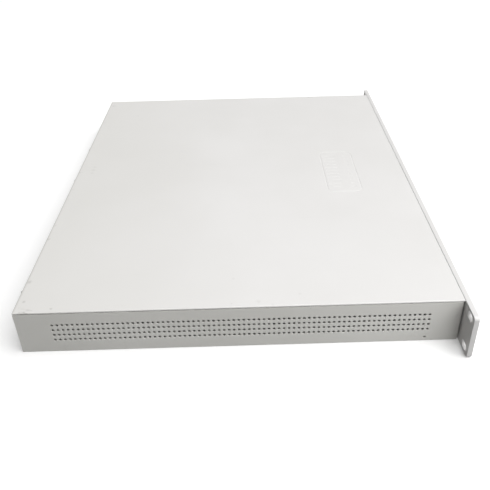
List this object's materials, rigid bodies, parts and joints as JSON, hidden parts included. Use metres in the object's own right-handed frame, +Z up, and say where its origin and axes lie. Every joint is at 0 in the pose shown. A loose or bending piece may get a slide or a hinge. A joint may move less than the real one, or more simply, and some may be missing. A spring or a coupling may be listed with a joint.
{
  "type": "rack firewall appliance",
  "caption": "One-unit rack network security appliance: thin wide sheet-steel case, thick front plate with slotted rack ears, perforated sides, front network ports, rear fans, inlet and switch.",
  "frame": {"origin": "centre of the bottom of the whole appliance's bounding box", "axes": "+X right as seen from the front, along the width; front plate faces -Y; +Z up"},
  "size_m": [0.4826, 0.3778, 0.0436],
  "materials": {
    "case_paint": "light warm grey satin powder coat with a very fine texture",
    "plate_paint": "light grey satin paint on thick aluminium plate",
    "zinc_sheet": "zinc plated steel sheet",
    "screw_steel": "nickel plated steel",
    "connector_shell": "tinned shield of a connector",
    "cast_aluminium": "plain aluminium",
    "black_plastic": "moulded black plastic",
    "fan_plastic": "black glass filled plastic",
    "clear_plastic": "clear light pipe plastic",
    "circuit_board": "green solder mask",
    "chip_package": "black moulded chip package",
    "winding_tape": "yellow winding tape",
    "earth_brass": "plain brass",
    "lead_sleeve": "black lead insulation"
  },
  "bodies": {
    "case": {"front_plate": "plate_paint", "front_bulkhead": "zinc_sheet", "bottom_pan": "case_paint", "left_side_panel": "case_paint", "right_side_panel": "case_paint", "rear_panel": "case_paint", "top_cover": "case_paint", "plate_screw_1": "screw_steel", "plate_screw_2": "screw_steel", "plate_screw_3": "screw_steel", "plate_screw_4": "screw_steel", "cover_screw_1": "screw_steel", "cover_screw_2": "screw_steel", "cover_screw_3": "screw_steel", "console_jack": "connector_shell", "management_jack": "connector_shell", "network_jack_block_1": "connector_shell", "network_jack_block_2": "connector_shell", "usb_ports": "connector_shell", "fibre_cage_1": "connector_shell", "fibre_cage_2": "connector_shell", "fibre_cage_3": "connector_shell", "fibre_cage_4": "connector_shell", "light_pipes": "clear_plastic", "reset_switch": "black_plastic", "main_board": "circuit_board", "processor": "chip_package", "processor_heatsink": "cast_aluminium", "network_controller": "chip_package", "controller_heatsink": "cast_aluminium", "memory_socket_1": "black_plastic", "memory_socket_2": "black_plastic", "memory_module_1": "circuit_board", "memory_module_2": "circuit_board", "battery_holder": "black_plastic", "clock_battery": "screw_steel", "drive_bracket": "zinc_sheet", "storage_drive": "cast_aluminium", "fan_frame_1": "fan_plastic", "fan_frame_2": "fan_plastic", "fan_frame_3": "fan_plastic", "fan_lead_1": "lead_sleeve", "fan_lead_2": "lead_sleeve", "fan_lead_3": "lead_sleeve", "power_supply_case": "zinc_sheet", "supply_board": "circuit_board", "supply_transformer": "winding_tape", "supply_fan_frame": "fan_plastic", "power_inlet": "black_plastic", "rocker_bezel": "black_plastic", "earth_stud": "earth_brass", "power_harness": "lead_sleeve", "drive_cable": "lead_sleeve"},
    "rotor_1": {"fan_rotor_1": "fan_plastic"},
    "rotor_2": {"fan_rotor_2": "fan_plastic"},
    "rotor_3": {"fan_rotor_3": "fan_plastic"},
    "supply_rotor": {"supply_fan_rotor": "fan_plastic"},
    "rocker": {"power_rocker": "black_plastic"},
    "button": {"reset_button": "black_plastic"}
  },
  "joints": [
    {"name": "fan_1_spin", "type": "hinge", "parent": "case", "child": "rotor_1", "pos_m": [-0.132, 0.169, 0.0218], "axis": [0, 1, 0], "continuous": true},
    {"name": "fan_2_spin", "type": "hinge", "parent": "case", "child": "rotor_2", "pos_m": [-0.082, 0.169, 0.0218], "axis": [0, 1, 0], "continuous": true},
    {"name": "fan_3_spin", "type": "hinge", "parent": "case", "child": "rotor_3", "pos_m": [-0.032, 0.169, 0.0218], "axis": [0, 1, 0], "continuous": true},
    {"name": "supply_fan_spin", "type": "hinge", "parent": "case", "child": "supply_rotor", "pos_m": [0.142, 0.1726, 0.0218], "axis": [0, 1, 0], "continuous": true},
    {"name": "rocker_tilt", "type": "hinge", "parent": "case", "child": "rocker", "pos_m": [0.1712, 0.1833, 0.0218], "axis": [1, 0, 0], "range_deg": [0, 20]},
    {"name": "reset_press", "type": "slide", "parent": "case", "child": "button", "axis": [0, 1, 0], "range_m": [0, 0.0012], "stiffness_N_per_m": 800, "springref_m": -0.0006}
  ]
}
